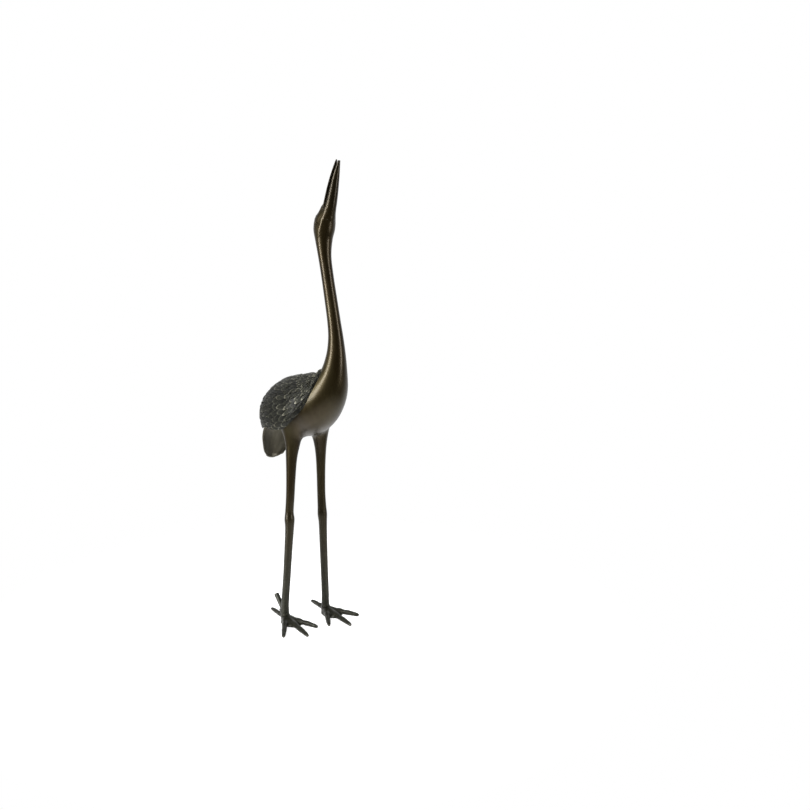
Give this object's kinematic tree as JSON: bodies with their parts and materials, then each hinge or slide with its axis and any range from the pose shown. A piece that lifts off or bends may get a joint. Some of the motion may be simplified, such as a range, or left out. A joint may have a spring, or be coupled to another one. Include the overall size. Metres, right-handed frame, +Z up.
{
  "type": "crane garden statue",
  "caption": "Cast bronze crane looking up with an open bill, feather mantle, drooping tail and long legs, with a water pipe stub behind one ankle.",
  "frame": {"origin": "on the ground plane under the middle of the overall box", "axes": "+Z up, the bird faces -Y, its left side is +X"},
  "size_m": [0.2378, 0.3448, 1.2206],
  "materials": {
    "dark_bronze": "dark brown patina, satin, rougher and greener on the feathers",
    "pipe_bronze": "dull dark patina"
  },
  "bodies": {
    "root": {"crane": "dark_bronze", "water_inlet_pipe": "pipe_bronze"}
  },
  "joints": []
}
